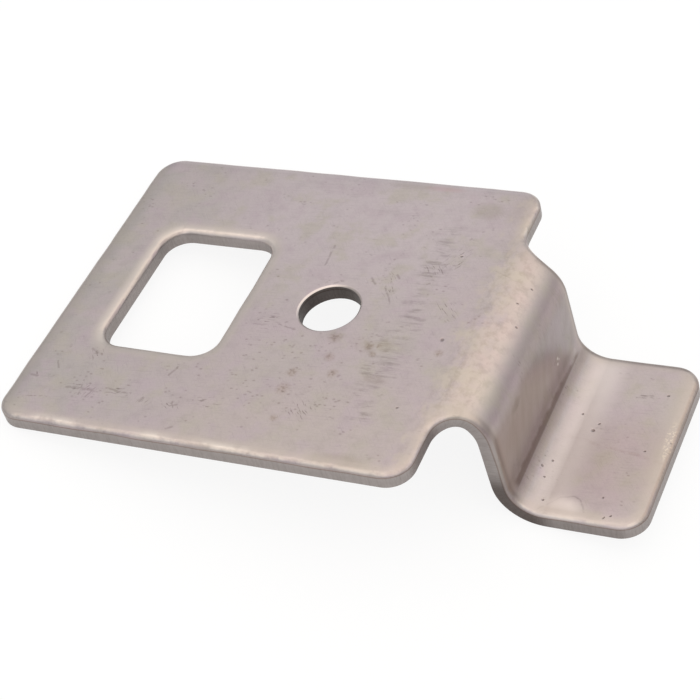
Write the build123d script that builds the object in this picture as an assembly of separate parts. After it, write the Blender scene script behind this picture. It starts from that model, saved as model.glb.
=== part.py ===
from build123d import *
from math import asin, atan2, cos, degrees, hypot, pi, radians, sin
import os

# Sheet
sheet_thickness = 2.5

# Plate, from its plain end at x = 0 to its shoulders
plate_length = 64.4
plate_width = 57.0
plate_corner_radius = 3.8

# Window across the plate, near the plain end
window_margin = 9.0
window_length = 18.6
window_width = 24.5
window_corner_radius = 3.6

# Hole for an 8 mm bolt, on the centre line, measured from the plain end
bolt_hole_place = 41.4
bolt_hole_diameter = 9.0

# Tongue between the shoulders, set down by two bends and ending in a foot
tongue_width = 31.0
inner_bend_radius = 4.2
joggle_angle = 88.0
riser_length = 8.5
foot_length = 14.1
foot_corner_radius = 3.9

# Round relief in the flat blank, where a shoulder meets the tongue
notch_radius = 4.5

# A plate corner takes at most this share of the shoulder's straight edge
corner_share = 0.85

# The line that keeps its length in a bend lies this share of the thickness from the inside
neutral_share = 0.42

# Edges that the punch drew down on the top face
rolled_edge_radius = 0.8
bolt_hole_edge_radius = 0.3

# A cut runs this far past the sheet, and the relief's edge is drawn through this many points
overcut = 1.0
notch_points = 9

# Places nearer to each other than this are one place
same_place = 0.001

# Worked out from the sizes above
half_width = plate_width / 2
half_tongue = tongue_width / 2
shoulder_length = half_width - half_tongue - notch_radius
bolt_hole_radius = bolt_hole_diameter / 2
window_middle = window_margin + window_length / 2
outer_bend_radius = inner_bend_radius + sheet_thickness
neutral_bend_radius = inner_bend_radius + neutral_share * sheet_thickness


def bent_line(depth):
    """The sheet seen from the side, as a line at one depth under its top face, from plain end to foot."""
    plate = Line((0, -depth), (plate_length, -depth))
    upper_bend = JernArc(plate @ 1, plate % 1, outer_bend_radius - depth, -joggle_angle)
    riser = Line(upper_bend @ 1, upper_bend @ 1 + riser_length * (upper_bend % 1))
    lower_bend = JernArc(riser @ 1, riser % 1, inner_bend_radius + depth, joggle_angle)
    foot = Line(lower_bend @ 1, lower_bend @ 1 + foot_length * (lower_bend % 1))
    return Wire([plate, upper_bend, riser, lower_bend, foot])


def bent_sheet():
    """The sheet with both bends, as wide as the plate all the way."""
    top = bent_line(0)
    underside = bent_line(sheet_thickness)
    plain_end = Line(top @ 0, underside @ 0)
    foot_end = Line(top @ 1, underside @ 1)
    section = Plane.XZ * make_face([top, underside, plain_end, foot_end])
    return extrude(section, half_width, both=True)


def notch_point(turn, depth):
    """A point of the relief's edge, wrapped round the upper bend: turn 0 is at the shoulder."""
    along = notch_radius * (1 - cos(turn))
    across = -half_tongue - notch_radius * (1 - sin(turn))
    bend_turn = along / neutral_bend_radius
    radius = outer_bend_radius - depth
    return Vector(plate_length + radius * sin(bend_turn), across, radius * cos(bend_turn) - outer_bend_radius)


def notch_curve(depth):
    """The relief's edge at one depth, from along the shoulder to along the tongue."""
    turns = [pi / 2 * index / (notch_points - 1) for index in range(notch_points)]
    bend_turn = notch_radius / neutral_bend_radius
    along_shoulder = Vector(0, 1, 0)
    along_tongue = Vector(cos(bend_turn), 0, -sin(bend_turn))
    return Edge.make_spline([notch_point(turn, depth) for turn in turns], [along_shoulder, along_tongue])


def notch_cut():
    """What the punch took between a shoulder and the tongue: its wall is square to the bent sheet."""
    wall = Face.make_surface_from_curves(notch_curve(-overcut), notch_curve(sheet_thickness + overcut))
    return Solid.extrude(wall, Vector(0, -half_width - overcut, 0))


def tongue_side_cut(sheet):
    """What the punch took beside the tongue, from the relief to the foot's end."""
    box = sheet.bounding_box()
    far = box.max.X + overcut
    low = box.min.Z - overcut
    bend_turn = notch_radius / neutral_bend_radius
    radius = outer_bend_radius + overcut
    centre = (plate_length, -outer_bend_radius)
    rim = (centre[0] + radius * sin(bend_turn), centre[1] + radius * cos(bend_turn))
    outline = Polyline(centre, rim, (far, rim[1]), (far, low), (centre[0], low), close=True)
    return Pos(0, -half_tongue, 0) * extrude(Plane.XZ * make_face(outline), half_width)


def cut_to_outline(sheet):
    """The sheet with its tongue cut free on both sides, which are alike."""
    side_cut = notch_cut() + tongue_side_cut(sheet)
    return sheet - side_cut - mirror(side_cut, Plane.XZ)


def upright_edges(clip):
    """Edges that run straight through the sheet, square to the plate and the foot."""
    return [edge for edge in clip.edges() if (edge @ 1 - edge @ 0).cross(Vector(0, 0, 1)).length < same_place]


def rounded_corners(clip):
    """Rounds the four corners of the plate, no further than its shoulders allow, and the two of the foot."""
    plate_side = half_width - same_place
    plate_radius = min(plate_corner_radius, corner_share * shoulder_length)
    clip = fillet([edge for edge in upright_edges(clip) if abs(edge.center().Y) > plate_side], plate_radius)
    foot_end = clip.bounding_box().max.X - same_place
    return fillet([edge for edge in upright_edges(clip) if edge.center().X > foot_end], foot_corner_radius)


def pierced(clip):
    """Punches the window and the bolt hole."""
    window = Pos(window_middle, 0) * RectangleRounded(window_length, window_width, window_corner_radius)
    hole = Pos(bolt_hole_place, 0) * Circle(bolt_hole_radius)
    return clip - extrude(window, -sheet_thickness - overcut) - extrude(hole, -sheet_thickness - overcut)


def top_rim(clip):
    """Edges round the top side: those that only one of its faces has."""
    top_line = Plane.XZ * bent_line(0)
    places = [(face, face.position_at(0.5, 0.5)) for face in clip.faces()]
    top_side = [face for face, at in places if top_line.distance_to(Vector(at.X, 0, at.Z)) < same_place]
    edges = [edge for face in top_side for edge in face.edges()]
    return [edge for edge in edges if sum(edge.is_same(other) for other in edges) == 1]


def from_bolt_hole(edge):
    """How far an edge's middle lies from the bolt hole's axis."""
    at = edge.position_at(0.5)
    return hypot(at.X - bolt_hole_place, at.Y)


def rolled_edges(clip):
    """Rounds the top rim, as the punch drew it down: least at the bolt hole."""
    rim = [edge for edge in top_rim(clip) if from_bolt_hole(edge) > bolt_hole_radius + same_place]
    clip = fillet(rim, rolled_edge_radius)
    return fillet([edge for edge in top_rim(clip) if from_bolt_hole(edge) < bolt_hole_radius + same_place],
                  bolt_hole_edge_radius)


def rest_slope():
    """Slope at which the clip rests on the plain end's lower edge and on the outside of the lower bend."""
    turn = radians(joggle_angle)
    both_radii = outer_bend_radius + inner_bend_radius
    heel_along = plate_length + both_radii * sin(turn) + riser_length * cos(turn)
    heel_down = outer_bend_radius - both_radii * cos(turn) + riser_length * sin(turn) - sheet_thickness
    heel_radius = inner_bend_radius + sheet_thickness
    return asin(heel_radius / hypot(heel_along, heel_down)) + atan2(heel_down, heel_along)


def laid_down(clip):
    """The clip as it lies at rest, centred over the origin."""
    tilted = Rot(0, -degrees(rest_slope()), 0) * clip
    box = tilted.bounding_box()
    return Pos(-box.center().X, 0, -box.min.Z) * tilted


clip = rolled_edges(pierced(rounded_corners(cut_to_outline(bent_sheet()))))
os.makedirs("parts", exist_ok=True)
export_step(laid_down(clip), "parts/clip_plate.step")
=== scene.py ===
from math import asin, atan2, cos, hypot, pi, radians, sin

import bmesh
import bpy
from mathutils import Matrix, Vector, noise


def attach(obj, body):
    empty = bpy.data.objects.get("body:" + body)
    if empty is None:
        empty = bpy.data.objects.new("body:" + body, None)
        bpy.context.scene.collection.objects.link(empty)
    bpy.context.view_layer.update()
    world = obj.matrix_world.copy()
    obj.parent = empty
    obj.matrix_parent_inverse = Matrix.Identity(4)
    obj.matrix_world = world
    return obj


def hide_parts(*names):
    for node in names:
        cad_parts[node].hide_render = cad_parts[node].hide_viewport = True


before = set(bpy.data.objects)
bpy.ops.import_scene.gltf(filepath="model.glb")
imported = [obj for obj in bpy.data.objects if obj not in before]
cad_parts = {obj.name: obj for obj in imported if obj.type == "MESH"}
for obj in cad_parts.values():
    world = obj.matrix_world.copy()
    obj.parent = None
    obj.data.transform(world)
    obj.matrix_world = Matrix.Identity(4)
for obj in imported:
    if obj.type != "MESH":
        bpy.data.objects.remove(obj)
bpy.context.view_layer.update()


# The clip is one stamped piece of bare steel sheet. A punch cuts the blank with its window, hole and two round
# reliefs, which draws the top edges down, and a press then sets the tongue one step lower by two bends.
mm = 0.001
thickness = 2.5 * mm
plate_length = 64.4 * mm
plate_width = 57.0 * mm
plate_corner = 3.8 * mm
window_margin = 9.0 * mm
window_length = 18.6 * mm
window_width = 24.5 * mm
window_corner = 3.6 * mm
hole_place = 41.4 * mm
hole_radius = 4.5 * mm
tongue_width = 31.0 * mm
relief_radius = 4.5 * mm
bend_inside = 4.2 * mm
bend_angle = radians(88)
riser_length = 8.5 * mm
foot_length = 14.1 * mm
foot_corner = 3.9 * mm
neutral_share = 0.42

# Places nearer to each other than this are one place
same_place = 1e-7

# Where the bends begin and end along the flat blank
bend_outside = bend_inside + thickness
bend_neutral = bend_inside + neutral_share * thickness
upper_bend_start = plate_length
upper_bend_end = upper_bend_start + bend_neutral * bend_angle
lower_bend_start = upper_bend_end + riser_length
lower_bend_end = lower_bend_start + bend_neutral * bend_angle
blank_length = lower_bend_end + foot_length

# The punched rim: tumbling takes a trace off the outline, the top edge is drawn down, the lower one is broken.
# The bends' soft ends make the sheet reach a trace further, which the foot's end gives back.
tumbled_off = 0.02 * mm
eased_reach = 0.12 * mm
sunk_width = 3.4 * mm
sunk_depth = 0.08 * mm
sunk_steps = 3
roll_width = 1.8 * mm
roll_fall = 0.09 * mm
tight_width = 0.80 * mm
tight_depth = 0.53 * mm
roll_depth = sunk_depth + roll_fall + tight_depth
lower_break = 0.13 * mm
shear_levels = (1.2 * mm, 1.8 * mm)
uneven_share = 0.30
uneven_size = 5.0 * mm
waviness = 0.03 * mm
hole_roll_width = 0.36 * mm
hole_roll_depth = 0.22 * mm
hole_break = 0.03 * mm
rim_steps = 8
corner_segments = 14
hole_segments = 96
wall_cuts = 3
net_step = 2.0 * mm
bend_steps = 32
riser_steps = 4


def flat_outline(blank, places):
    """A flat face through the places, at the height of the drawn-down rim."""
    return blank.faces.new([blank.verts.new((x, y, -roll_depth)) for x, y in places])


def round_corners(blank, corners, radius):
    """Rounds the corners of a flat face."""
    bmesh.ops.bevel(blank, geom=corners, offset=radius, offset_type="OFFSET", affect="VERTICES",
                    segments=corner_segments, profile=0.5, material=-1, clamp_overlap=False)


def corners_at(blank, places):
    """The corners that stand at the given places, on either side of the middle line."""
    found = []
    for x, y in places:
        found += [v for v in blank.verts if hypot(v.co.x - x, abs(v.co.y) - abs(y)) < tumbled_off / 2]
    return found


def quarter_round(width, depth):
    """The fall of an edge at steps from its wall inwards, as pairs: how far in, and how far down."""
    turns = [pi / 2 * k / rim_steps for k in range(rim_steps + 1)]
    return [(width * (1 - cos(turn)), depth * (1 - sin(turn))) for turn in turns]


def drawn_down():
    """The punched top edge: a tight round at the wall, the roll behind it and a faint wide fall behind that."""
    falls = quarter_round(tight_width, tight_depth)
    falls += [(tight_width + (roll_width - tight_width) * k / rim_steps, 0) for k in range(1, rim_steps + 1)]
    falls += [(roll_width + (sunk_width - roll_width) * k / sunk_steps, 0) for k in range(1, sunk_steps + 1)]
    return [(inward, fall + roll_fall * max(1 - inward / roll_width, 0) ** 2
             + sunk_depth * (1 - inward / sunk_width) ** 2) for inward, fall in falls]


def inset_rim(blank, faces, falls, outward):
    """Carries the rim of a flat group of faces to a profile, ring by ring. Outward is +1 or -1."""
    for (inward, fall), (next_inward, next_fall) in zip(falls, falls[1:]):
        bmesh.ops.inset_region(blank, faces=faces, use_boundary=True, use_even_offset=True,
                               thickness=next_inward - inward, depth=0)
        corners = {v for face in faces for v in face.verts}
        bmesh.ops.translate(blank, verts=list(corners), vec=(0, 0, outward * (fall - next_fall)))


def push_down(blank, faces, distance):
    """Extrudes flat faces down by a distance and returns the new ones."""
    made = bmesh.ops.extrude_face_region(blank, geom=faces)["geom"]
    corners = [g for g in made if isinstance(g, bmesh.types.BMVert)]
    bmesh.ops.translate(blank, verts=corners, vec=(0, 0, -distance))
    return [g for g in made if isinstance(g, bmesh.types.BMFace)]


def faces_at(blank, height):
    """The faces whose middle lies at a height."""
    return [face for face in blank.faces if abs(face.calc_center_median().z - height) < same_place]


half_width = plate_width / 2 - tumbled_off
half_tongue = tongue_width / 2 - tumbled_off
near_end = tumbled_off
shoulder = plate_length - tumbled_off
far_end = blank_length - tumbled_off - eased_reach

blank = bmesh.new()
side = [(near_end, half_width), (shoulder, half_width), (shoulder, half_tongue), (far_end, half_tongue)]
flat_outline(blank, [(x, -y) for x, y in side] + side[::-1])
round_corners(blank, corners_at(blank, [side[0], side[1]]), plate_corner - tumbled_off)
round_corners(blank, corners_at(blank, [side[2]]), relief_radius + tumbled_off)
round_corners(blank, corners_at(blank, [side[3]]), foot_corner - tumbled_off)

# The window and the hole, cut out of the flat outline
window_ends = (window_margin - tumbled_off, window_margin + window_length + tumbled_off)
window_half = window_width / 2 + tumbled_off
window = [(window_ends[0], window_half), (window_ends[1], window_half)]
flat_outline(blank, [(x, -y) for x, y in window] + window[::-1])
round_corners(blank, corners_at(blank, window), window_corner + tumbled_off)
bmesh.ops.create_circle(blank, cap_ends=True, segments=hole_segments, radius=hole_radius + hole_roll_width,
                        matrix=Matrix.Translation((hole_place, 0, -roll_depth)))
blank.faces.ensure_lookup_table()
outline_face, window_face, hole_face = sorted(blank.faces, key=lambda face: -face.calc_area())
bmesh.ops.delete(blank, geom=[outline_face, window_face], context="FACES_ONLY")
bmesh.ops.triangle_fill(blank, edges=blank.edges[:], use_beauty=True, normal=(0, 0, 1))
bmesh.ops.recalc_face_normals(blank, faces=blank.faces[:])

# The sheet's thickness, then its rims above and below
top = blank.faces[:]
if sum(face.normal.z for face in top) < 0:
    bmesh.ops.reverse_faces(blank, faces=top)
underside = top
levels = [roll_depth, *shear_levels, thickness - lower_break]
for above, below in zip(levels, levels[1:]):
    inner = underside
    underside = push_down(blank, inner, below - above)
    if inner is not top:
        bmesh.ops.delete(blank, geom=inner, context="FACES")
top = faces_at(blank, -roll_depth)
underside = faces_at(blank, -levels[-1])
inset_rim(blank, top, drawn_down(), 1)
inset_rim(blank, underside, quarter_round(lower_break, lower_break), -1)

# The bolt hole, drawn down far less than the outline, with a crisp edge where its wall begins
hole_steps = [k / rim_steps for k in range(rim_steps + 1)]
drawn_in = [(hole_roll_width * step, hole_roll_depth * step ** 2) for step in hole_steps]
broken_out = [(hole_roll_width - inward, fall) for inward, fall in quarter_round(hole_break, hole_break)]
discs = []
for z, outward, falls in ((0, 1, drawn_in), (-thickness, -1, [(0, 0)] + broken_out[::-1])):
    round_faces = [face for face in faces_at(blank, z) if len(face.verts) == hole_segments]
    disc = min(round_faces, key=lambda face: abs(face.calc_center_median().x - hole_place))
    inset_rim(blank, [disc], falls, outward)
    discs.append(disc)
for edge in discs[0].edges:
    edge.smooth = False
rings = [edge for disc in discs for edge in disc.edges]
bmesh.ops.delete(blank, geom=discs, context="FACES_ONLY")
walls = bmesh.ops.bridge_loops(blank, edges=rings)["faces"]
wall_edges = {edge for face in walls for edge in face.edges}
uprights = [edge for edge in wall_edges if abs(edge.verts[0].co.z - edge.verts[1].co.z) > thickness / 2]
bmesh.ops.subdivide_edges(blank, edges=uprights, cuts=wall_cuts, use_grid_fill=True)

# A net of cuts, so that the sheet can bend and carries no long thin triangles
lengthwise, crosswise = (1, 0, 0), (0, 1, 0)
cuts = [(net_step * k, lengthwise) for k in range(1, int(blank_length / net_step) + 1)]
cuts = [cut for cut in cuts if not upper_bend_start - net_step / 2 < cut[0] < lower_bend_end + net_step / 2]
for bend_start in (upper_bend_start, lower_bend_start):
    cuts += [(bend_start + bend_neutral * bend_angle * k / bend_steps, lengthwise) for k in range(bend_steps + 1)]
cuts += [(upper_bend_end + riser_length * k / riser_steps, lengthwise) for k in range(1, riser_steps)]
cuts += [(net_step * k, crosswise) for k in range(int(-half_width / net_step), int(half_width / net_step) + 1)]
for place, direction in cuts:
    bmesh.ops.bisect_plane(blank, geom=blank.verts[:] + blank.edges[:] + blank.faces[:], dist=same_place,
                           plane_co=Vector(direction) * place, plane_no=direction)

# The slanted edges left by the filling go, so that the flat faces are a plain net
upright_normal = 0.99999
slanted = []
for edge in blank.edges:
    start, end = (corner.co for corner in edge.verts)
    in_face = len(edge.link_faces) == 2 and all(abs(face.normal.z) > upright_normal for face in edge.link_faces)
    on_face = start.z > -same_place or start.z < same_place - thickness
    run = end - start
    if in_face and on_face and abs(run.z) < same_place < min(abs(run.x), abs(run.y)):
        slanted.append(edge)
bmesh.ops.dissolve_edges(blank, edges=slanted, use_verts=True)
bmesh.ops.recalc_face_normals(blank, faces=blank.faces[:])

# Each point keeps its place on the flat blank, which the finish is laid out on
flat_place = blank.verts.layers.float_vector.new("blank")
for point in blank.verts:
    point[flat_place] = point.co

# A punch never draws an edge down evenly, and a rolled sheet is never quite flat
for point in blank.verts:
    if point.co.z > -roll_depth - tumbled_off / 2:
        swell = noise.noise(Vector((point.co.x, point.co.y, 0)) / uneven_size)
        wave = 1 + noise.noise(Vector((point.co.x, point.co.y, plate_width)) / (2 * uneven_size))
        point.co.z = point.co.z * (1 + uneven_share * swell) - waviness * wave / 2

# The press leaves no sharp start to a bend, and the side line is drawn in fine steps
bend_easing = 1.3 * mm
line_step = 0.05 * mm


def bend_ramp(place, bend_start):
    """The share of a bend that is done at a place on the blank: even, but eased in and out at its ends."""
    length = bend_neutral * bend_angle
    ease = bend_easing / length
    share = (place - bend_start) / length
    for end, sign in ((0, 1), (1, -1)):
        near = sign * (share - end)
        if abs(near) < ease:
            return end + sign * (near + ease) ** 2 / (4 * ease)
    return min(max(share, 0), 1)


def top_line():
    """The bent sheet's top face seen from the side, at even steps along the blank: along, up and the slope."""
    along, up, upper, lower = 0.0, 0.0, 0.0, 0.0
    line = [(along, up, 0.0)]
    for k in range(1, int(blank_length / line_step) + 2):
        next_upper = bend_angle * bend_ramp(k * line_step, upper_bend_start)
        next_lower = bend_angle * bend_ramp(k * line_step, lower_bend_start)
        slope = (upper + next_upper - lower - next_lower) / 2
        stretch = (next_upper - upper) * (1 - neutral_share) * thickness
        squeeze = (next_lower - lower) * neutral_share * thickness
        upper, lower = next_upper, next_lower
        along += (line_step + stretch - squeeze) * cos(slope)
        up -= (line_step + stretch - squeeze) * sin(slope)
        line.append((along, up, upper - lower))
    return line


line = top_line()


def bent(point):
    """The place that a point of the flat blank takes once both bends are made, with the plate level."""
    x, y, z = point
    step = min(max(x / line_step, 0), len(line) - 2)
    k = int(step)
    along, up, slope = (a + (b - a) * (step - k) for a, b in zip(line[k], line[k + 1]))
    return Vector((along, y, up)) + Vector((sin(slope), 0, cos(slope))) * z


for point in blank.verts:
    point.co = bent(point.co)

# The clip lies on its plain end's lower edge and on the outside of the lower bend
heel_along = plate_length + (bend_outside + bend_inside) * sin(bend_angle) + riser_length * cos(bend_angle)
heel_down = bend_outside - (bend_outside + bend_inside) * cos(bend_angle) + riser_length * sin(bend_angle)
heel_down -= thickness
rest_slope = asin(bend_outside / hypot(heel_along, heel_down)) + atan2(heel_down, heel_along)
bmesh.ops.rotate(blank, verts=blank.verts[:], cent=(0, 0, 0), matrix=Matrix.Rotation(-rest_slope, 3, "Y"))
ends = [point.co.x for point in blank.verts]
lowest = min(point.co.z for point in blank.verts)
bmesh.ops.translate(blank, verts=blank.verts[:], vec=(-(min(ends) + max(ends)) / 2, 0, -lowest))

mesh = bpy.data.meshes.new("clip_plate_finished")
for face in blank.faces:
    face.smooth = True
blank.to_mesh(mesh)
blank.free()
clip = bpy.data.objects.new("clip_plate_finished", mesh)
bpy.context.scene.collection.objects.link(clip)


class Wire:
    """A value that changes over a finish: one socket of its nodes. Sums on wires add Math nodes."""

    def __init__(self, socket):
        self.socket = socket

    def node(self, kind, settings=None, sockets=None, output=0):
        """Adds a node: its settings first, then the values or wires of its sockets."""
        tree = self.socket.id_data
        made = tree.nodes.new("ShaderNode" + kind)
        for name, value in (settings or {}).items():
            setattr(made, name, value)
        for name, value in (sockets or {}).items():
            if isinstance(value, Wire):
                tree.links.new(value.socket, made.inputs[name])
            else:
                made.inputs[name].default_value = value
        return Wire(made.outputs[output])

    def math(self, operation, *others):
        return self.node("Math", {"operation": operation}, dict(enumerate((self, *others))))

    def vector(self, operation, *others, output=0):
        return self.node("VectorMath", {"operation": operation}, dict(enumerate((self, *others))), output)

    def __add__(self, other):
        return self.math("ADD", other)

    def __sub__(self, other):
        return self.math("SUBTRACT", other)

    def __rsub__(self, other):
        return self.math("MULTIPLY_ADD", -1.0, other)

    def __mul__(self, other):
        return self.math("MULTIPLY", other)

    __radd__ = __add__
    __rmul__ = __mul__

    def most(self, other):
        return self.math("MAXIMUM", other)

    def rise(self, low, high):
        """0 below low, 1 above high and smooth between; falls where high is the smaller."""
        return self.node("MapRange", {"interpolation_type": "SMOOTHSTEP"},
                         {"Value": self, "From Min": low, "From Max": high})

    def band(self, low, high, soft):
        """1 from low to high, with soft ends."""
        return self.rise(low - soft, low + soft) * self.rise(high + soft, high - soft)

    def tinted(self, mask, colour):
        """This colour, changed to another where the mask is 1."""
        return self.node("Mix", {"data_type": "RGBA"}, {0: mask, 6: self, 7: (*colour, 1)}, 2)

    def shaded(self, mask, colour):
        """This colour, multiplied by another where the mask is 1."""
        settings = {"data_type": "RGBA", "blend_type": "MULTIPLY"}
        return self.node("Mix", settings, {0: mask, 6: self, 7: (*colour, 1)}, 2)


steel = bpy.data.materials.new("tumbled_steel")
steel.use_nodes = True
shader = steel.node_tree.nodes["Principled BSDF"]

# Places on the flat blank in millimetres: along from the plain end, across from the middle, and depth
flat = Wire(shader.inputs["Base Color"]).node("Attribute", {"attribute_name": "blank"}, output="Vector")
flat = flat.vector("SCALE")
flat.socket.node.inputs["Scale"].default_value = 1 / mm
along, across, height = (flat.node("SeparateXYZ", None, {0: flat}, k) for k in range(3))
depth = 0 - height


def grain(place, size, detail=2.0, roughness=0.5):
    """Even noise around 0.5 with patches of about the given size in millimetres."""
    return place.node("TexNoise", None,
                      {"Vector": place, "Scale": 1 / size, "Detail": detail, "Roughness": roughness})


def turned(place, angle, length, width, shift=0.0):
    """The place turned and stretched, so that a pattern runs along the angle."""
    return place.node("Mapping", {"vector_type": "TEXTURE"}, {"Vector": place, "Location": (shift, 0, 0),
                      "Rotation": (0, 0, radians(angle)), "Scale": (length, width, 1)})


def hairlines(place, angle, length, width, share, shift=0.0):
    """Fine straight scratches of about one direction, over the given share of the surface."""
    lines = grain(turned(place, angle, length, width, shift), 1.0, 1.0)
    return lines.rise(0.62 - share, 0.68 - share)


# The same places, a little astray, so that nothing laid out on them has a ruled edge
wander = flat.node("TexNoise", None, {"Vector": flat, "Scale": 0.35, "Detail": 3.0, "Roughness": 0.4}, "Color")
shaky = flat.vector("ADD", wander.vector("SUBTRACT", (0.5, 0.5, 0.5)).vector("MULTIPLY", (1.0, 1.0, 0)))


def spot(place, radius, soft):
    """A round spot on the top face, with an uneven edge."""
    far = shaky.vector("DISTANCE", (*place, 0), output="Value")
    return far.rise(radius + soft, radius - soft)


def patch_at(place, reach, angle=0.0):
    """A soft oval patch round a place."""
    oval = flat.node("Mapping", {"vector_type": "TEXTURE"}, {"Vector": shaky, "Location": (*place, 0),
                     "Rotation": (0, 0, radians(angle)), "Scale": (*reach, 1)})
    return oval.vector("LENGTH", output="Value").rise(1.15, 0.35)


def bundle(angle, width, *patches):
    """Short scratches of about one direction, close together in some patches."""
    lines = grain(turned(shaky, angle, 1.5, width), 1.0, 1.0)
    return all_of([patch_at(*patch) for patch in patches]) * lines.rise(0.57, 0.68)


def scratch(begin, end, width):
    """One scratch on the top face from place to place."""
    run = Vector((*end, 0)) - Vector((*begin, 0))
    offset = shaky.vector("SUBTRACT", (*begin, 0))
    share = offset.vector("DOT_PRODUCT", tuple(run / run.length_squared), output="Value")
    share = share.math("MINIMUM", 1).most(0)
    nearest = share.node("CombineXYZ", None, {0: share * run.x, 1: share * run.y})
    return offset.vector("DISTANCE", nearest, output="Value").rise(width, width * 0.2)


def all_of(masks):
    """The strongest of several masks."""
    total = masks[0]
    for mask in masks[1:]:
        total = total.most(mask)
    return total


top_side = depth.rise(1.2, 0.6)
wall = depth.rise(0.35, 0.80) * depth.rise(2.46, 2.38)

# Bare rolled steel: a pinkish grey, cooler over the middle of the plate, with faint straw and violet patches
broad = grain(flat, 11.0, 2.0)
patch = grain(flat.vector("ADD", (40.0, 7.0, 0)), 5.0, 3.0, 0.6)
blotch = grain(flat.vector("ADD", (3.0, 71.0, 0)), 6.0, 2.0, 0.5)
fine = grain(flat, 0.35, 2.0, 0.6)
colour = broad.node("Mix", {"data_type": "RGBA"},
                    {0: broad.rise(0.35, 0.65), 6: (0.440, 0.384, 0.372, 1), 7: (0.446, 0.377, 0.382, 1)}, 2)
cool = across.rise(-8, 16) * along.rise(2, 30) * along.rise(66, 52)
colour = colour.tinted(cool * 0.75, (0.492, 0.425, 0.434))
colour = colour.tinted(along.rise(24, 0) * blotch.rise(0.36, 0.56) * 0.75, (0.404, 0.366, 0.346))
warm = across.rise(-6, -24) * along.rise(22, 34) * along.rise(66, 60)
colour = colour.tinted(warm * 0.6, (0.458, 0.392, 0.366))
colour = colour.tinted(patch.rise(0.50, 0.68) * 0.60, (0.430, 0.386, 0.336))
colour = colour.tinted(patch.rise(0.48, 0.34) * 0.60, (0.446, 0.368, 0.386))
colour = colour.shaded(fine.rise(0.35, 0.7) * 0.09, (0.5, 0.5, 0.52))
cloud = grain(flat.vector("ADD", (0, 90.0, 0)), 2.2, 3.0, 0.6)
colour = colour.shaded(cloud.rise(0.45, 0.72) * 0.15, (0.62, 0.61, 0.60))

# Fine hairlines from handling, bundles of short scratches, and the scratches that stand out alone
hair = hairlines(flat, 4, 5.0, 0.10, 0.0).most(hairlines(flat, -52, 3.0, 0.09, -0.01, 83))
colour = colour.shaded(hair * top_side * 0.16, (0.4, 0.4, 0.42))
bundles = (
    (4, 0.24, ((12.5, -21.5), (5.0, 1.0)), ((17.0, -21.2), (3.5, 1.0)), ((96.0, 8.4), (2.6, 0.8)),
     ((31.2, -20.8), (3.0, 1.4)), ((33.0, -4.0), (3.0, 2.2), -20)),
    (-48, 0.24, ((2.8, -20.5), (1.2, 1.2)), ((10.3, -14.6), (1.8, 1.4)), ((48.9, 5.6), (3.8, 1.5), -63),
     ((54.2, 9.8), (2.5, 1.4)), ((58.6, 2.4), (3.0, 1.6), -50), ((26.5, -22.0), (2.4, 1.0)),
     ((45.5, -19.5), (2.5, 2.5))),
    (62, 0.22, ((12.2, -21.6), (2.6, 1.6)), ((22.0, -22.0), (1.4, 1.2)), ((56.4, 12.6), (2.2, 3.0))))
scratches = (
    ((9.0, -21.7), (13.4, -21.4), 0.34), ((15.3, -21.0), (19.4, -21.1), 0.24),
    ((5.0, -16.9), (5.9, -18.3), 0.26), ((2.4, -20.4), (3.4, -20.5), 0.34),
    ((3.4, -24.6), (7.3, -23.8), 0.20), ((27.9, -26.2), (28.6, -25.6), 0.34),
    ((21.7, -22.4), (22.0, -21.7), 0.30), ((26.4, -22.2), (27.2, -21.8), 0.28),
    ((11.1, -20.1), (11.6, -22.6), 0.22), ((13.0, -22.8), (13.6, -21.6), 0.22),
    ((24.0, -14.9), (23.5, -16.9), 0.28), ((9.2, -13.8), (11.3, -14.7), 0.26),
    ((36.8, 12.6), (37.1, 8.4), 0.30), ((45.2, 6.9), (46.3, 5.8), 0.26),
    ((48.0, 5.6), (50.0, 2.1), 0.20), ((48.8, 8.0), (49.6, 7.3), 0.28),
    ((35.5, -4.3), (38.1, -5.0), 0.18), ((40.2, 4.9), (41.4, 5.5), 0.22),
    ((63.0, 10.8), (65.0, 10.0), 0.24), ((95.1, 8.2), (97.3, 8.8), 0.20),
    ((86.6, -15.6), (88.4, -14.0), 0.20), ((88.4, -14.0), (90.4, -11.9), 0.22),
    ((90.4, -11.9), (92.3, -11.3), 0.22), ((92.3, -11.3), (93.3, -11.9), 0.20),
    ((93.3, -11.9), (94.4, -13.8), 0.20))
broken = grain(flat.vector("ADD", (5.0, 19.0, 0)), 0.8, 2.0).rise(0.33, 0.50)
cut = all_of([scratch(*ends) for ends in scratches]) * 0.62
cut = cut.most(all_of([bundle(*group) for group in bundles])) * broken * top_side
colour = colour.shaded(cut * 0.62, (0.42, 0.40, 0.40))
crack = scratch((86.0, -0.4), (103.0, -3.4), 0.45) * cloud.rise(0.38, 0.56) * top_side
colour = colour.shaded(crack * 0.22, (0.62, 0.50, 0.46))

# Flecks and small stains, most of them between the window and the bolt hole
flecks = flat.node("TexVoronoi", None, {"Vector": shaky.vector("MULTIPLY", (1, 1.5, 1)), "Scale": 0.95}, "Distance")
speckled = (
    ((39.0, -13.5), (14.0, 14.0)), ((26.0, -20.8), (7.0, 3.0)), ((12.0, -20.5), (9.0, 4.5)),
    ((86.8, -8.0), (3.0, 6.5)), ((91.2, 1.4), (2.4, 2.4)), ((102.0, -0.5), (1.2, 4.0)),
    ((49.5, -6.0), (5.0, 4.0)), ((55.0, 10.0), (4.0, 6.0)))
fleck_zone = grain(flat.vector("ADD", (11.0, 0, 0)), 4.0, 2.0) + all_of([patch_at(*zone) for zone in speckled]) * 0.14
fleck_zone = fleck_zone.rise(0.52, 0.66)
colour = colour.shaded(flecks.rise(0.32, 0.08) * fleck_zone * top_side * 0.45, (0.48, 0.44, 0.43))
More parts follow.
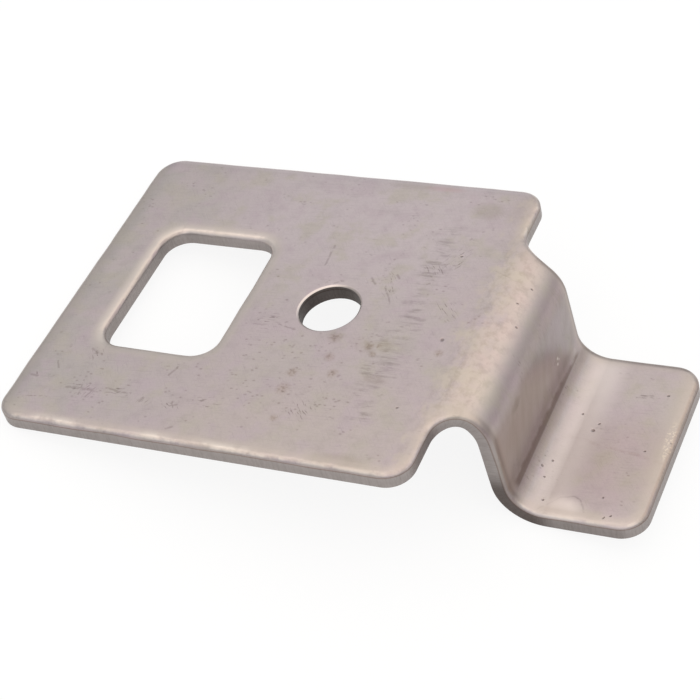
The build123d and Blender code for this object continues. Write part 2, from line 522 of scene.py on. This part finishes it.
stains = (
    ((50.5, -6.3), 0.5), ((51.6, -6.1), 0.3), ((51.4, -7.7), 0.4), ((41.4, -13.0), 0.7), ((47.2, -12.2), 0.6),
    ((45.4, -9.2), 0.6), ((44.7, -5.6), 0.8), ((41.3, -16.2), 0.8), ((60.7, -5.9), 0.6), ((42.4, -21.6), 0.5))
smear = patch_at((51.6, -6.3), (4.6, 2.0), -8).most(patch_at((53.4, -12.3), (2.6, 1.3)) * 0.7)
dots = grain(flat.vector("ADD", (0, 33.0, 0)), 0.5, 1.0).rise(0.42, 0.60)
stain = all_of([spot(place, radius, radius * 0.8) for place, radius in stains]) * top_side
colour = colour.shaded(smear * cloud.rise(0.34, 0.60) * top_side * 0.34, (0.68, 0.63, 0.52))
colour = colour.shaded(stain * 0.28, (0.70, 0.62, 0.48))
colour = colour.shaded(stain * dots * 0.36, (0.45, 0.40, 0.34))
tarnish = patch_at((54.5, -27.2), (4.5, 1.6)).most(patch_at((57.2, 23.0), (3.0, 2.2))) * 0.7
tarnish = tarnish.most(patch_at((44.0, 27.2), (5.0, 1.3)) * 0.5).most(patch_at((62.8, 24.0), (3.0, 3.5)) * 0.4)
colour = colour.shaded(tarnish * top_side * 0.5, (0.62, 0.62, 0.48))
colour = colour.tinted(patch_at((49.0, 27.0), (3.5, 0.9)) * top_side * 0.5, (0.46, 0.33, 0.34))

# Rub marks across the plate where something lay against it: short uneven streaks in one band
streak = grain(turned(flat, 2, 5.0, 0.8), 1.0, 3.0, 0.7).rise(0.43, 0.64)
astray = along + (patch - 0.5) * 7.0 + (cloud - 0.5) * 5.0
rubbed = astray.band(51.8, 55.2, 1.5) * across.band(-20, 19, 1.5) * streak
colour = colour.shaded(rubbed * grain(flat, 2.6, 2.0).rise(0.28, 0.54) * 0.60, (0.55, 0.54, 0.54))

# The upper bend: a painted straw-coloured sheen over it, with a ragged border, and a painted highlight along its
# crest
mottle = grain(flat.vector("MULTIPLY", (1.0, 0.5, 1)), 1.5, 3.0, 0.6)
crinkle = grain(flat.vector("MULTIPLY", (1.0, 0.7, 1)), 1.1, 3.0, 0.7)
ragged = along + (mottle - 0.5) * 13.0 + (blotch - 0.5) * 9.0
bend_sheen = ragged.rise(61.5, 67.0) * along.rise(70.8, 68.2)
# Painted sheen over the upper bend
colour = colour.tinted(bend_sheen * top_side * 0.65, (0.500, 0.420, 0.376))
colour = colour.tinted(bend_sheen * patch.rise(0.44, 0.60) * top_side * 0.4, (0.480, 0.430, 0.355))
colour = colour.tinted(bend_sheen * patch.rise(0.44, 0.34) * top_side * 0.4, (0.510, 0.405, 0.385))
wrinkled = along.band(62.5, 67.5, 1.5) * crinkle.rise(0.42, 0.68)
colour = colour.shaded(wrinkled * top_side * 0.5, (0.72, 0.70, 0.66))
border = along.band(60.5, 65.0, 1.5) * mottle.rise(0.50, 0.66)
colour = colour.tinted(border * top_side * 0.35, (0.455, 0.398, 0.350))
# Painted highlight along the bend's crest
crest_highlight = along.band(66.9, 68.7, 0.5) * crinkle.rise(0.64, 0.42)
colour = colour.tinted(crest_highlight * top_side * 0.30, (0.600, 0.505, 0.455))
# Painted shade along the top of the riser, past the bend's sheen
colour = colour.shaded(along.band(69.6, 72.0, 0.8) * top_side * 0.8, (0.90, 0.86, 0.86))

# The riser: dragged along by the die, with brown patches, painted shade and painted light for what it mirrors, and
# painted shade in the crease of the lower bend
drag = grain(turned(flat, -24, 7.0, 1.3), 1.0, 3.0, 0.6)
riser = along.band(71.5, 82.5, 1.2) * top_side
over_foot = across - (along - 75.0) * 1.6
# Painted shade on the riser's far part
colour = colour.shaded(riser * over_foot.rise(1.0, 6.0) * 0.5, (0.60, 0.61, 0.63))
over_crease = along.rise(81.5, 77.5)
# A lighter painted tint where the riser mirrors the foot, fading towards the crease
colour = colour.tinted(riser * over_foot.rise(3.0, -3.0) * over_crease * 0.7, (0.515, 0.480, 0.455))
colour = colour.shaded(riser * drag.rise(0.38, 0.66) * 0.18, (0.66, 0.60, 0.48))
colour = colour.shaded(patch_at((75.8, -6.0), (3.6, 9.5)) * riser * 0.20, (0.72, 0.68, 0.52))
colour = colour.shaded(patch_at((72.8, -7.2), (0.8, 2.0)) * riser * 0.35, (0.55, 0.50, 0.42))
# Painted shade in the crease of the lower bend
fold = along + (cloud - 0.5) * 1.6 - across.rise(-4, 12) * 0.7
crease_shade = fold.rise(81.2, 82.2) * along.rise(83.3, 82.9) * across.band(-13.4, 12.8, 0.8) * top_side
colour = colour.shaded(crease_shade * 0.7, (0.48, 0.41, 0.36))
# A warm painted tint over the cool reflection at the start of the foot
colour = colour.shaded(along.band(83.2, 85.0, 0.4) * top_side * 0.8, (1.0, 0.94, 0.88))
# Painted glints on the riser
riser_glints = all_of([spot((77.9, 7.2), 0.25, 0.2), spot((78.9, 6.8), 0.25, 0.2), spot((78.4, 7.6), 0.15, 0.15)])
colour = colour.tinted(riser_glints * top_side * 0.7, (0.85, 0.84, 0.82))

# The foot: a painted highlight along the bend and its near edge, pinkish brown over the middle
foot_highlight = along.rise(85.0, 89.2) * along.rise(93.5, 89.5) * (blotch * 0.4 + across.rise(-8, 10) * 0.4 + 0.6)
foot_highlight = foot_highlight.most(patch_at((91.6, -14.8), (4.6, 3.2)))
foot_highlight = foot_highlight.most(across.rise(-13.4, -15.0) * along.band(93.0, 101.0, 1.0) * 0.55)
colour = colour.tinted(foot_highlight * top_side * 0.7, (0.610, 0.545, 0.525))
# A brighter painted highlight on the foot's near edge, by the bend
colour = colour.tinted(patch_at((91.0, -14.0), (3.0, 2.9)) * top_side * 0.7, (0.740, 0.660, 0.630))
foot_end = along.rise(99.0, 101.5) * across.rise(-13, -4)
colour = colour.tinted(foot_end * top_side * 0.45, (0.450, 0.398, 0.342))
# Painted glints at the foot's end
end_glints = patch_at((102.1, 0.8), (0.8, 4.2)) * fine.rise(0.50, 0.60)
colour = colour.tinted(end_glints * top_side * 0.8, (0.78, 0.69, 0.56))
colour = colour.shaded(patch_at((97.5, -4.0), (7.5, 11.0)) * top_side * 0.5, (0.88, 0.82, 0.78))

# Small pits with dark floors, most of them on the foot and along the upper bend
pits = (
    ((88.4, 3.6), 0.16), ((91.0, 0.9), 0.26), ((91.5, 2.2), 0.16), ((99.3, 9.3), 0.20), ((86.9, -5.9), 0.16),
    ((85.5, -7.4), 0.20), ((86.6, -9.2), 0.13), ((87.9, -12.9), 0.20), ((96.2, -11.0), 0.15), ((97.3, -14.1), 0.17),
    ((98.1, -13.8), 0.14), ((67.9, 9.6), 0.14), ((67.1, 6.2), 0.12), ((68.1, 2.2), 0.14), ((60.1, -3.4), 0.26),
    ((58.8, -16.6), 0.15), ((102.6, 0.7), 0.18), ((102.7, -0.8), 0.22), ((56.9, 13.2), 0.16), ((99.2, -1.7), 0.14))
pit = all_of([spot(place, radius, radius * 0.5) for place, radius in pits]) * top_side
colour = colour.shaded(pit * 0.7, (0.40, 0.36, 0.35))

# The rolled edges: a brighter tint, partly their own burnish from tumbling and partly painted highlight, stronger in
# some runs, and painted shade where they face away
runs = along.band(7, 13.5, 1.5).most(along.band(24.5, 28.5, 2.0)).most(along.band(34, 41, 2.0))
runs = runs * across.rise(-26.4, -27.2)
edge_grain = grain(flat.vector("ADD", (60.0, 5.0, 0)), 2.8, 3.0, 0.6)
window_rim = across.band(-14.2, 14.2, 0.3) * along.band(7.0, 29.5, 0.3)
notch_rim = along.band(61.0, 84.0, 2.0) * across.rise(-13.6, -14.4)
window_left = window_rim * along.rise(11.4, 10.6)
# Painted warm sheen on the drawn-down rims, left off the far edge
rim_sheen = depth.band(0.02, 0.22, 0.02) * across.rise(26.4, 25.6)
colour = colour.tinted(rim_sheen * top_side * 0.5, (0.462, 0.400, 0.356))
# A brighter tint on the rounds of the edges: partly their own burnish, which also lowers the roughness, and partly a
# painted highlight
polish_and_highlight = depth.band(0.16, 0.42, 0.06) * edge_grain.rise(0.40, 0.60) * (1 - notch_rim * 0.6) * 0.65
polish_and_highlight = polish_and_highlight.most(depth.band(0.05, 0.40, 0.04) * runs * edge_grain.rise(0.30, 0.54) * 0.85)
polish_and_highlight = polish_and_highlight.most(window_left * depth.band(0.03, 0.22, 0.04) * 0.55)
polish_and_highlight = polish_and_highlight.most(window_rim * along.rise(10.6, 11.4) * depth.band(0.05, 0.48, 0.06) * 0.55)
polish_and_highlight = polish_and_highlight * along.rise(1.2, 2.2) * (1 - along.rise(101.4, 102.2) * 0.85)
polish_and_highlight = polish_and_highlight * (1 - along.band(69.5, 84.0, 1.5)) * top_side
colour = colour.tinted(polish_and_highlight * 0.9, (0.610, 0.545, 0.495))
# Painted highlight: a light fringe along the far edge's rim
far_edge_highlight = depth.band(0.02, 0.26, 0.02) * across.rise(27.0, 27.8)
colour = colour.tinted(far_edge_highlight * top_side * 0.6, (0.530, 0.468, 0.470))
# Painted shade where the window's left rim turns down into its wall
colour = colour.shaded(window_left * depth.rise(0.12, 0.42) * depth.rise(1.1, 0.7) * 0.6, (0.66, 0.62, 0.60))
# Painted shade: a dark line along the tongue's far rim
far_rim_shade = depth.band(0.06, 0.30, 0.04) * along.rise(66, 68) * across.rise(14.2, 14.6)
colour = colour.shaded(far_rim_shade * 0.6, (0.5, 0.48, 0.47))
# Painted shade on the near rim along the riser, over the highlight it would catch
riser_rim_shade = along.band(68.5, 84.5, 1.5) * across.rise(-13.4, -14.6) * depth.rise(0.01, 0.08)
colour = colour.shaded(riser_rim_shade * top_side * 0.75, (0.62, 0.60, 0.59))
# Painted shade on the window's right and near rims, which face away from the light
rim_in_shade = along.band(27.4, 30.0, 0.4) * across.band(-14.2, 14.2, 0.5)
rim_in_shade = rim_in_shade.most(across.band(-14.4, -12.2, 0.3) * along.band(9, 28, 1))
colour = colour.shaded(rim_in_shade * depth.band(0.04, 0.6, 0.02) * 0.3, (0.76, 0.78, 0.77))
# Painted shade along the plain end's rim
colour = colour.shaded(along.rise(3.6, 1.2) * top_side * 0.65, (0.83, 0.85, 0.855))

# The bolt hole's rim: a painted highlight on the side that faces the bends, and painted shade on the rest
from_hole = flat.vector("MULTIPLY", (1, 1, 0)).vector("DISTANCE", (hole_place / mm, 0, 0), output="Value")
hole_rim = from_hole.rise(5.1, 4.95) * depth.rise(0.0, 0.02) * top_side
hole_lit_side = (across * 0.45 - along * 0.9).rise(-36.6, -33.4)
colour = colour.tinted(hole_rim * hole_lit_side * depth.rise(0.24, 0.21) * 0.7, (0.70, 0.62, 0.59))
colour = colour.shaded(hole_rim * (1 - hole_lit_side) * 0.5, (0.70, 0.71, 0.70))

# The punched walls: burnished above with upright scores, torn and duller below
scores = grain(flat.vector("MULTIPLY", (1, 1, 0.12)), 0.22, 2.0, 0.6)
torn = (depth + grain(flat.vector("MULTIPLY", (1, 1, 0)), 0.9, 2.0) * 0.5).rise(1.45, 1.6)
hole_wall = from_hole.rise(4.54, 4.51)
wall = wall.most(hole_wall)
# The walls' darker tone: partly the sheared steel's own duller colour, partly painted shade for the shaded floor that
# they mirror
colour = colour.tinted(wall * 0.9, (0.345, 0.316, 0.308))
# Painted shade on the near walls under the lower bend and along the foot
under_bend_shade = (along.band(79.5, 89.5, 2.2) + along.rise(89.0, 93.0) * 0.3) * across.rise(-15, -15.4)
colour = colour.shaded(wall * under_bend_shade, (0.40, 0.37, 0.355))
# Painted shade inside the bolt hole
colour = colour.shaded(hole_wall * 0.9, (0.34, 0.325, 0.31))
# Painted shade: a dark line where the rounds turn down into the walls
colour = colour.shaded(depth.band(0.57, 0.74, 0.07) * (1 - window_rim * 0.9) * 0.75, (0.62, 0.51, 0.46))
# Painted shade on the round at the foot's end
end_rim_shade = along.rise(101.9, 102.6) * depth.band(0.12, 0.80, 0.06)
colour = colour.shaded(end_rim_shade * 0.5, (0.72, 0.63, 0.59))
colour = colour.shaded(wall * scores.rise(0.35, 0.7) * 0.3, (0.6, 0.58, 0.56))
colour = colour.shaded(wall * torn * 0.15, (0.80, 0.78, 0.76))

rough = 0.36 + (patch - 0.5) * 0.12 + wall * 0.08 + stain * 0.08 + cut * 0.1 + rubbed * 0.04
rough = rough + foot_highlight * 0.06 - polish_and_highlight * 0.05
relief = (fine - 0.5) * 0.004 + (broad - 0.5) * 0.10 - pit * 0.06
relief = relief + depth.band(0.08, 0.5, 0.06) * (edge_grain - 0.5) * 0.14
relief = relief + along.band(61.0, 70.0, 1.5) * (crinkle - 0.5) * 0.022
relief = relief + wall * (scores - 0.5) * 0.02 + wall * torn * (fine - 0.5) * 0.06
bump = relief.node("Bump", None, {"Height": relief, "Distance": 1.0 * mm, "Strength": 1.0})
tree = steel.node_tree
tree.links.new(colour.socket, shader.inputs["Base Color"])
tree.links.new(rough.socket, shader.inputs["Roughness"])
tree.links.new(bump.socket, shader.inputs["Normal"])
shader.inputs["Metallic"].default_value = 1.0
mesh.materials.append(steel)

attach(clip, "root")
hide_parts("clip_plate")


# The floor is a plain white sheet of board, with a dull face. It looks as pale as paper from the camera and in
# what the steel mirrors, and keeps the clip's soft shadow.
floor_size = 3.0
board_white = 0.86
board_roughness = 0.9
pale_when_seen = 0.88
pale_when_mirrored = 0.4
floor_mesh = bpy.data.meshes.new("floor")
board = bmesh.new()
bmesh.ops.create_grid(board, x_segments=1, y_segments=1, size=floor_size)
board.to_mesh(floor_mesh)
board.free()
floor = bpy.data.objects.new("floor", floor_mesh)
bpy.context.scene.collection.objects.link(floor)
paper = bpy.data.materials.new("white_board")
paper.use_nodes = True
board_shader = paper.node_tree.nodes["Principled BSDF"]
board_shader.inputs["Base Color"].default_value = (board_white, board_white, board_white, 1)
board_shader.inputs["Roughness"].default_value = board_roughness
lit = Wire(board_shader.outputs["BSDF"])
seen, mirrored, through = (
    lit.node("LightPath", output=name) for name in ("Is Camera Ray", "Is Glossy Ray", "Is Transmission Ray"))
paleness = (seen * pale_when_seen).most(mirrored.most(through) * pale_when_mirrored)
glow = lit.node("Emission", None, {"Strength": 1.0})
mixed = lit.node("MixShader", None, {0: paleness, 1: lit, 2: glow})
paper.node_tree.links.new(mixed.socket, paper.node_tree.nodes["Material Output"].inputs["Surface"])
floor_mesh.materials.append(paper)


# The studio is a pale room that is brightest overhead, as under a wide soft box, and dims towards the horizon.
# Its light is a little warm above and cool below.
room_strength = 1.6
room = bpy.data.worlds.new("room")
room.use_nodes = True
backdrop = room.node_tree.nodes["Background"]
backdrop.inputs["Strength"].default_value = room_strength
upward = Wire(backdrop.inputs["Color"]).node("TexCoord", output="Generated")
upward = upward.node("SeparateXYZ", None, {0: upward}, 2)
ramp = upward.node("ValToRGB", None, {"Fac": upward})
stops = ramp.socket.node.color_ramp.elements
room_light = ((0.0, (0.40, 0.405, 0.415)), (0.25, (0.46, 0.465, 0.475)), (0.53, (0.64, 0.66, 0.68)),
              (0.70, (0.93, 0.89, 0.84)), (1.0, (0.93, 0.89, 0.85)))
for place, shade in room_light[1:-1]:
    stops.new(place)
for stop, (place, shade) in zip(stops, room_light):
    stop.position = place
    stop.color = (*shade, 1)
room.node_tree.links.new(ramp.socket, backdrop.inputs["Color"])
bpy.context.scene.world = room


# One square soft lamp stands over the clip's left, turned to its middle. It brightens the edges that face it.
lamp_place = Vector((-0.44, 0.05, 0.60))
lamp_size = 0.25
lamp_radiance = 0.6
lamp = bpy.data.lights.new("over_left", "AREA")
lamp.shape = "SQUARE"
lamp.size = lamp_size
lamp.energy = lamp_radiance * pi * lamp_size * lamp_size
lamp.color = (1.0, 0.96, 0.92)
lamp_holder = bpy.data.objects.new("over_left", lamp)
lamp_holder.location = lamp_place
lamp_holder.rotation_euler = (-lamp_place).to_track_quat("-Z", "Y").to_euler()
bpy.context.scene.collection.objects.link(lamp_holder)


# The camera stands where the photograph was taken from: low over the near side, a little to the foot's side,
# with a long lens.
camera = bpy.data.cameras.new("camera")
camera.lens = 103.29
camera.sensor_width = 36
camera.clip_start = 0.01
camera_place = Vector((69.31, -175.86, 222.79)) * mm
camera_aim = Vector((-1.161, -4.078, 10.0)) * mm
camera_roll = radians(0.29)
viewer = bpy.data.objects.new("camera", camera)
facing = (camera_aim - camera_place).to_track_quat("-Z", "Y").to_matrix().to_4x4()
viewer.matrix_world = Matrix.Translation(camera_place) @ facing @ Matrix.Rotation(camera_roll, 4, "Z")
bpy.context.scene.collection.objects.link(viewer)
bpy.context.scene.camera = viewer
bpy.context.scene.view_settings.view_transform = "Standard"
